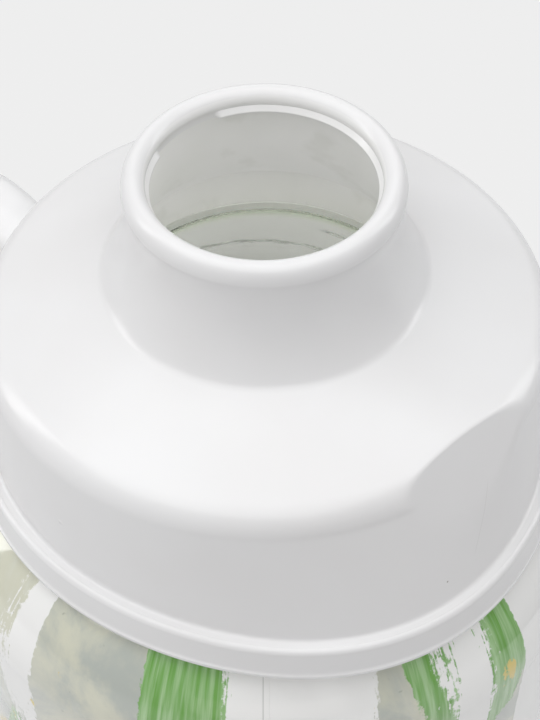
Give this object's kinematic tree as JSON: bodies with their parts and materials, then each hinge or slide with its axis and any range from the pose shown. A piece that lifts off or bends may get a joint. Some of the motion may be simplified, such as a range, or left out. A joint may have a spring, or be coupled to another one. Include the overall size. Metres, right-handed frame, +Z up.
{
  "type": "serving bottle",
  "caption": "Printed glass serving bottle with a white domed screw top, a flared open pouring neck, a flanged skirt and a side handle.",
  "frame": {"origin": "centre of the glass foot's flat underside, on the surface that the bottle stands on", "axes": "+Z up along the bottle's axis, +X towards the pouring side with the scoop, the handle at -X"},
  "size_m": [0.1534, 0.1174, 0.2554],
  "materials": {
    "clear_glass": "clear, faintly green, polished",
    "printed_film": "glossy print in leaf greens, ochre and grey",
    "seal_rubber": "soft, milky white, matt",
    "white_plastic": "glossy white moulding"
  },
  "bodies": {
    "bottle": {"glass_bottle": "clear_glass", "print_film": "printed_film"},
    "seal": {"seal_ring": "seal_rubber"},
    "top": {"screw_top": "white_plastic", "handle": "white_plastic"}
  },
  "joints": [
    {"name": "top_rise", "type": "slide", "parent": "bottle", "child": "seal", "axis": [0, 0, 1], "range_m": [0, 0.0076]},
    {"name": "top_turn", "type": "hinge", "parent": "seal", "child": "top", "pos_m": [0, 0, 0.2231], "axis": [0, 0, 1], "range_deg": [0, 270]}
  ],
  "couplings": [
    {"joint": "top_rise", "follows": "top_turn", "m_per_rad": 0.0015915}
  ]
}
